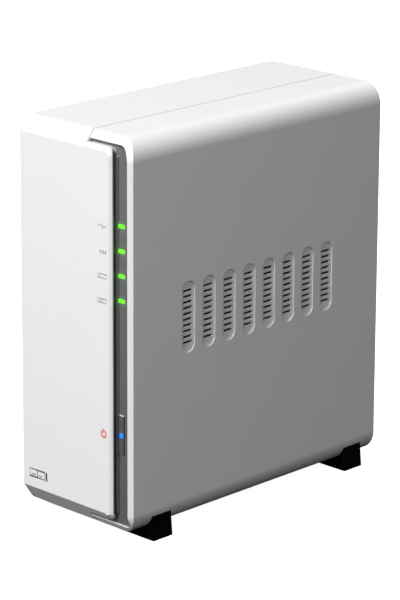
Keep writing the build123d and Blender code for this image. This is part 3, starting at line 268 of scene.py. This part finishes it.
def circuit_board():
    """Green solder mask over etched tracks that run square to each other."""
    finish = Finish("circuit_board", (0.01, 0.10, 0.05), 0.3)
    tracks = finish.node("ShaderNodeTexBrick")
    for socket, value in (("Scale", 160.0), ("Mortar Size", 0.035), ("Mortar Smooth", 0.2),
                          ("Row Height", 0.22)):
        tracks.inputs[socket].default_value = value
    tracks.inputs["Color1"].default_value = (0.008, 0.085, 0.040, 1.0)
    tracks.inputs["Color2"].default_value = (0.010, 0.105, 0.048, 1.0)
    tracks.inputs["Mortar"].default_value = (0.030, 0.190, 0.085, 1.0)
    finish.link(finish.place, tracks.inputs["Vector"])
    finish.color(tracks.outputs["Color"])
    finish.roughness(finish.span(finish.noise(700.0, 3.0), 0.25, 0.40))
    finish.bump(tracks.outputs["Fac"], 20e-6)
    return finish.material


def sheet_steel():
    """Galvanised sheet with its crystal spangle."""
    finish = Finish("sheet_steel", grey(0.55), 0.38, metallic=1.0)
    spangle = finish.node("ShaderNodeTexVoronoi")
    spangle.inputs["Scale"].default_value = 260.0
    finish.link(finish.place, spangle.inputs["Vector"])
    finish.color(finish.blend(spangle.outputs["Distance"], grey(0.46), grey(0.62), 0.0, 1.0))
    finish.roughness(finish.span(spangle.outputs["Distance"], 0.30, 0.46, 0.0, 1.0))
    finish.bump(finish.noise(1400.0, 3.0), 6e-6)
    return finish.material


def screw_steel():
    return metal("screw_steel", grey(0.55), grey(0.68), (0.22, 0.36), EVEN, 1800.0).material


def sink_aluminium():
    return metal("sink_aluminium", grey(0.58), grey(0.70), (0.28, 0.42), (1.0, 0.06, 1.0)).material


def drive_casting():
    return metal("drive_casting", grey(0.36), grey(0.46), (0.42, 0.58), EVEN, 1300.0, 30e-6).material


def drive_lid():
    return metal("drive_lid", grey(0.60), grey(0.70), (0.26, 0.38), (1.0, 1.0, 0.04)).material


def socket_metal():
    return metal("socket_metal", grey(0.58), grey(0.68), (0.20, 0.32), (1.0, 0.08, 1.0)).material


def bearing_brass():
    return metal("bearing_brass", (0.62, 0.42, 0.16), (0.74, 0.52, 0.22), (0.25, 0.4), EVEN).material


def fan_coil():
    """Lacquered copper turns."""
    finish = Finish("fan_coil", (0.42, 0.16, 0.06), 0.32, metallic=1.0)
    turns = finish.node("ShaderNodeTexWave", wave_type="BANDS", bands_direction="Y")
    turns.inputs["Scale"].default_value = 900.0
    finish.link(finish.place, turns.inputs["Vector"])
    finish.color(finish.blend(turns.outputs["Fac"], (0.24, 0.08, 0.03), (0.55, 0.22, 0.08)))
    finish.bump(turns.outputs["Fac"], 60e-6)
    return finish.material


def magnet():
    return moulded("magnet", grey(0.045), grey(0.07), rough=(0.5, 0.65), grain=2200.0,
                   depth=20e-6).material


def box_centre(node):
    low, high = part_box(node)
    return (low + high) / 2


LIGHTS = ("status_lens", "network_lens", "drive_1_lens", "drive_2_lens")
STRIP_FACE_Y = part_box("status_lens")[0].y


def light_spot(node):
    """Middle of a light guide's visible end."""
    low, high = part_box(node)
    flange = 0.5 * MM
    return Vector(((low.x + high.x) / 2 - flange, low.y, (low.z + high.z) / 2))


def dress_frame():
    """Gives every carried-over CAD node its own finish."""
    spots = [light_spot(node) for node in LIGHTS]
    finishes = {
        "white_shell": white_shell(), "strip_plastic": strip_plastic(spots), "foot_rubber": foot_rubber(),
        "panel_plastic": panel_plastic(), "sheet_steel": sheet_steel(), "screw_steel": screw_steel(),
        "circuit_board": circuit_board(), "chip_black": chip_black(), "header_nylon": header_nylon(),
        "sink_aluminium": sink_aluminium(), "drive_casting": drive_casting(), "drive_lid": drive_lid(),
        "fan_plastic": fan_plastic(), "fan_coil": fan_coil(), "magnet": magnet(),
        "bearing_brass": bearing_brass(), "socket_metal": socket_metal(), "lead_jacket": lead_jacket(),
    }
    for node, spot in zip(LIGHTS, spots):
        finishes[node] = lit(f"{node}_light", (0.16, 1.0, 0.03), (0.05, 0.80, 0.0), spot, 4.0 * MM, 1.0)
    finishes["blue_light"] = lit("power_light", (0.02, 0.32, 1.0), (0.0, 0.10, 0.90),
                                 box_centre("power_lens"), 3.0 * MM, 0.9)
    for entry in frame["record"]["subparts"]:
        node, slot = entry["node"], entry["material_slot"]
        piece = frame["nodes"][node]
        piece.data.materials.clear()
        piece.data.materials.append(finishes[node] if node in finishes else finishes[slot])


# ---------------------------------------------------------------- printed marks
FACE_Y = LOW.y                       # front face of the plate
INK_PROUD = 0.02 * MM
MARK_RIGHT = 28.0 * MM               # the light marks end here
MARK_HALF = 1.25 * MM                # half their height
MARK_WIDE = 3.9 * MM                 # half their width
NETWORK_WIDE = 3.0 * MM              # half the network mark's width
MARK_DROP = 0.8 * MM                 # they sit this far below their lights
POWER_MARK_X = 25.1 * MM
BAYS_IN, BAYS_UP = 13.7 * MM, 26.8 * MM


def ink(name, low, high):
    """Pad-printed ink, a little uneven."""
    finish = Finish(name, low, 0.5)
    patchy = finish.noise(1500.0, 3.0)
    finish.color(finish.blend(patchy, low, high))
    finish.roughness(finish.span(patchy, 0.42, 0.6))
    finish.bump(patchy, 6e-6)
    return finish.material


def stroke(mesh, points, width, closed=False):
    """Adds a flat line of that width through (x, z) points to a bmesh."""
    count = len(points)
    rails = []
    for index, point in enumerate(points):
        before = points[index - 1] if closed or index else point
        after = points[(index + 1) % count] if closed or index + 1 < count else point
        along = (Vector(after) - Vector(before)).normalized()
        arriving = (Vector(point) - Vector(before)).normalized()
        reach = width / 2 / max(0.5, along.dot(arriving) if arriving.length else 1.0)
        across = Vector((-along.y, along.x)) * reach
        rails.append([mesh.verts.new((point[0] + side * across.x, 0.0, point[1] + side * across.y))
                      for side in (1, -1)])
    pairs = zip(rails, rails[1:] + rails[:1] if closed else rails[1:])
    for first, second in pairs:
        mesh.faces.new((first[0], first[1], second[1], second[0]))


def printed(name, centre, draw, material):
    """A mark drawn by draw(bmesh) round centre (x, z) on the front plate."""
    shape = bmesh.new()
    draw(shape)
    bmesh.ops.recalc_face_normals(shape, faces=shape.faces)
    mesh = bpy.data.meshes.new(name)
    shape.to_mesh(mesh)
    shape.free()
    mark = bpy.data.objects.new(name, mesh)
    mark.location = (centre[0], FACE_Y - INK_PROUD, centre[1])
    bpy.context.scene.collection.objects.link(mark)
    mesh.materials.append(material)
    body = mark.modifiers.new("film", "SOLIDIFY")
    body.thickness = INK_PROUD / 2
    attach(mark, "chassis")


def frame_outline(half_wide, half_tall):
    """The corners of a box round the origin."""
    return [(-half_wide, -half_tall), (half_wide, -half_tall),
            (half_wide, half_tall), (-half_wide, half_tall)]


def arc(radius, start, end, steps=40, stretch=1.0):
    """Points round an arc, angles in degrees clockwise from the top."""
    turns = [math.radians(start + (end - start) * step / steps) for step in range(steps + 1)]
    return [(radius * math.sin(turn), radius * stretch * math.cos(turn)) for turn in turns]


def draw_pulse(shape):
    """A heartbeat line."""
    wide, tall = MARK_WIDE, 1.2 * MARK_HALF
    stroke(shape, [(-wide, 0), (-0.4 * wide, 0), (-0.15 * wide, tall),
                   (0.2 * wide, -tall), (0.42 * wide, 0), (wide, 0)], 0.55 * MM)


def draw_network(shape):
    """Three boxes on a common line."""
    box, gap, bar = 0.65 * MM, 2.3 * MM, 0.5 * MM
    for x in (-gap, 0.0, gap):
        stroke(shape, [(x - box, 0.0), (x + box, 0.0)], 2 * box)
        stroke(shape, [(x, -box), (x, -MARK_HALF)], bar)
    stroke(shape, [(-gap - bar / 2, -MARK_HALF), (gap + bar / 2, -MARK_HALF)], bar)


def draw_drive(shape, number):
    """A drive seen from its end, with as many bars as its number."""
    wide, bar = MARK_WIDE, 0.46 * MM
    stroke(shape, frame_outline(wide, MARK_HALF), bar, closed=True)
    for place in range(number):
        x = -0.55 * wide + place * 1.8 * MM
        stroke(shape, [(x, -0.45 * MARK_HALF), (x, 0.45 * MARK_HALF)], 1.9 * bar)


def draw_power(shape):
    """A broken ring with a bar in its gap."""
    radius, stretch, line = 1.95 * MM, 1.3, 0.95 * MM
    stroke(shape, arc(radius, 38.0, 322.0, stretch=stretch), line)
    stroke(shape, [(0.0, 0.15 * radius), (0.0, 1.55 * radius)], line)


def draw_bays(shape):
    """Two upright bays side by side, and a block for the lights beside them."""
    tall, bay, line = 2.5 * MM, 3.1 * MM, 0.65 * MM
    stroke(shape, frame_outline(2 * bay + line, tall), line, closed=True)
    stroke(shape, [(0.0, -tall), (0.0, tall)], line)
    for x in (-bay, bay):
        stroke(shape, [(x - 0.5 * bay, -0.35 * tall), (x + 0.5 * bay, -0.35 * tall)], line)
    stroke(shape, [(2.75 * bay, -tall - line / 2), (2.75 * bay, tall + line / 2)], 2.4 * line)


def print_marks():
    """One mark beside each light, one beside the power button and one low on the left."""
    pale = ink("pale_ink", grey(0.30), grey(0.36))
    dark = ink("dark_ink", grey(0.07), grey(0.10))
    red = ink("red_ink", (0.80, 0.03, 0.02), (0.86, 0.05, 0.03))
    drawings = (draw_pulse, draw_network, lambda shape: draw_drive(shape, 1),
                lambda shape: draw_drive(shape, 2))
    for node, draw in zip(LIGHTS, drawings):
        height = light_spot(node).z - MARK_DROP
        half = NETWORK_WIDE if draw is draw_network else MARK_WIDE
        printed(f"{node}_mark", (MARK_RIGHT - half, height), draw, pale)
    button = box_centre("power_lens")
    printed("power_mark", (POWER_MARK_X, button.z + 0.2 * MM), draw_power, red)
    printed("bays_mark", (LOW.x + BAYS_IN, LOW.z + BAYS_UP), draw_bays, dark)


# ---------------------------------------------------------------- dust gauze behind the vents
def gauze_cloth():
    """Black woven gauze."""
    finish = Finish("gauze_cloth", grey(0.006), 0.8)
    weave = finish.node("ShaderNodeTexChecker")
    weave.inputs["Scale"].default_value = 2200.0
    weave.inputs["Color1"].default_value = (0.004, 0.004, 0.004, 1.0)
    weave.inputs["Color2"].default_value = (0.012, 0.012, 0.012, 1.0)
    finish.link(finish.place, weave.inputs["Vector"])
    finish.color(weave.outputs["Color"])
    finish.bump(weave.outputs["Fac"], 40e-6)
    return finish.material


def gauze(name, shell, side, material):
    """A thin sheet held against the inside of a side wall, over its vents."""
    wall, gap, thick = 2.5 * MM, 0.1 * MM, 0.5 * MM
    half_long, half_tall, middle = 74.0 * MM, 26.0 * MM, 139.0 * MM
    low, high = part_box(shell)
    outer = (high.x if side > 0 else low.x) - side * (wall + gap)
    shape = bmesh.new()
    bmesh.ops.create_grid(shape, x_segments=24, y_segments=8, size=1.0)
    for corner in shape.verts:
        corner.co = Vector((0.0, corner.co.x * half_long, corner.co.y * half_tall))
    mesh = bpy.data.meshes.new(name)
    shape.to_mesh(mesh)
    shape.free()
    sheet = bpy.data.objects.new(name, mesh)
    sheet.location = (outer - side * thick / 2, 0.0, middle)
    bpy.context.scene.collection.objects.link(sheet)
    mesh.materials.append(material)
    body = sheet.modifiers.new("cloth", "SOLIDIFY")
    body.thickness, body.offset = thick, 0.0
    return sheet


def hang_gauze():
    """One sheet behind each side's vents, each riding the shell that it is stuck to."""
    cloth = gauze_cloth()
    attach(gauze("right_vent_gauze", "right_shell", 1, cloth), "right_shell")
    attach(gauze("left_vent_gauze", "left_shell", -1, cloth), "chassis")


# ---------------------------------------------------------------- studio
def studio_floor():
    """A plain pale floor, lit from within enough to keep shadows faint."""
    half = 12.0
    mesh = bpy.data.meshes.new("floor")
    corners = [(x, z, 0.0) for x, z in frame_outline(half, half)]
    mesh.from_pydata(corners, [], [(0, 1, 2, 3)])
    floor = bpy.data.objects.new("floor", mesh)
    bpy.context.scene.collection.objects.link(floor)
    finish = Finish("floor_paper", grey(0.55), 0.9)
    finish.color(finish.blend(finish.noise(3.0, 2.0), grey(0.54), grey(0.56)))
    finish.shader.inputs["Emission Color"].default_value = (1.0, 1.0, 1.0, 1.0)
    finish.shader.inputs["Emission Strength"].default_value = 0.95
    floor.data.materials.append(finish.material)
    floor.visible_diffuse = False
    floor.visible_glossy = False


def area_light(name, place, target, width, height, watts):
    data = bpy.data.lights.new(name, "AREA")
    data.shape = "RECTANGLE"
    data.size, data.size_y, data.energy = width, height, watts
    lamp = bpy.data.objects.new(name, data)
    lamp.location = place
    lamp.rotation_euler = (Vector(target) - Vector(place)).to_track_quat("-Z", "Y").to_euler()
    bpy.context.scene.collection.objects.link(lamp)


def studio_lights():
    """A broad key from above the front, weak fills and a room that is darker low down."""
    middle = (0, 0, 0.13)
    area_light("key", (-0.05, -2.3, 2.3), middle, 1.7, 1.7, 124.0)
    area_light("side_fill", (1.15, -0.90, 0.85), middle, 0.8, 0.8, 5.3)
    area_light("rear_fill", (-0.5, 2.2, 0.8), middle, 1.2, 1.2, 30.0)
    world = bpy.data.worlds.new("soft_room")
    world.use_nodes = True
    tree = world.node_tree
    place = tree.nodes.new("ShaderNodeTexCoord")
    height = tree.nodes.new("ShaderNodeSeparateXYZ")
    shade = tree.nodes.new("ShaderNodeValToRGB")
    for element, position, tone in zip(shade.color_ramp.elements, (0.44, 0.60), (0.005, 0.20)):
        element.position = position
        element.color = (tone, tone, tone, 1.0)
    lifted = tree.nodes.new("ShaderNodeMapRange")
    lifted.inputs["From Min"].default_value = -1.0
    tree.links.new(place.outputs["Generated"], height.inputs["Vector"])
    tree.links.new(height.outputs["Z"], lifted.inputs["Value"])
    tree.links.new(lifted.outputs["Result"], shade.inputs["Fac"])
    tree.links.new(shade.outputs["Color"], tree.nodes["Background"].inputs["Color"])
    bpy.context.scene.world = world
    bpy.context.scene.view_settings.view_transform = "Standard"


def camera():
    """Looks at the front right corner from a little above, through a long lens shifted upwards."""
    azimuth, tilt, roll = math.radians(44.475), math.radians(15.0), math.radians(0.29)
    distance, lens_length, sensor = 1.8845, 175.74, 36.0
    across, above = -0.0026, 0.0710
    level = Vector((math.sin(azimuth), -math.cos(azimuth), 0.0))
    back = math.cos(tilt) * level + math.sin(tilt) * Vector((0.0, 0.0, 1.0))
    right = Vector((math.cos(azimuth), math.sin(azimuth), 0.0))
    up = back.cross(right)
    aim = Vector((0.0, 0.0, 0.120)) + across * right + above * up
    tilted_right = math.cos(roll) * right + math.sin(roll) * up
    tilted_up = back.cross(tilted_right)
    data = bpy.data.cameras.new("camera")
    data.lens = lens_length
    data.sensor_width = sensor
    data.shift_y = -0.17
    data.clip_end = 100.0
    eye = bpy.data.objects.new("camera", data)
    eye.matrix_world = Matrix.Translation(aim + distance * back) @ Matrix(
        (tilted_right, tilted_up, back)).transposed().to_4x4()
    bpy.context.scene.collection.objects.link(eye)
    bpy.context.scene.camera = eye


camera()
studio_floor()
studio_lights()
dress_frame()
print_marks()
hang_gauze()
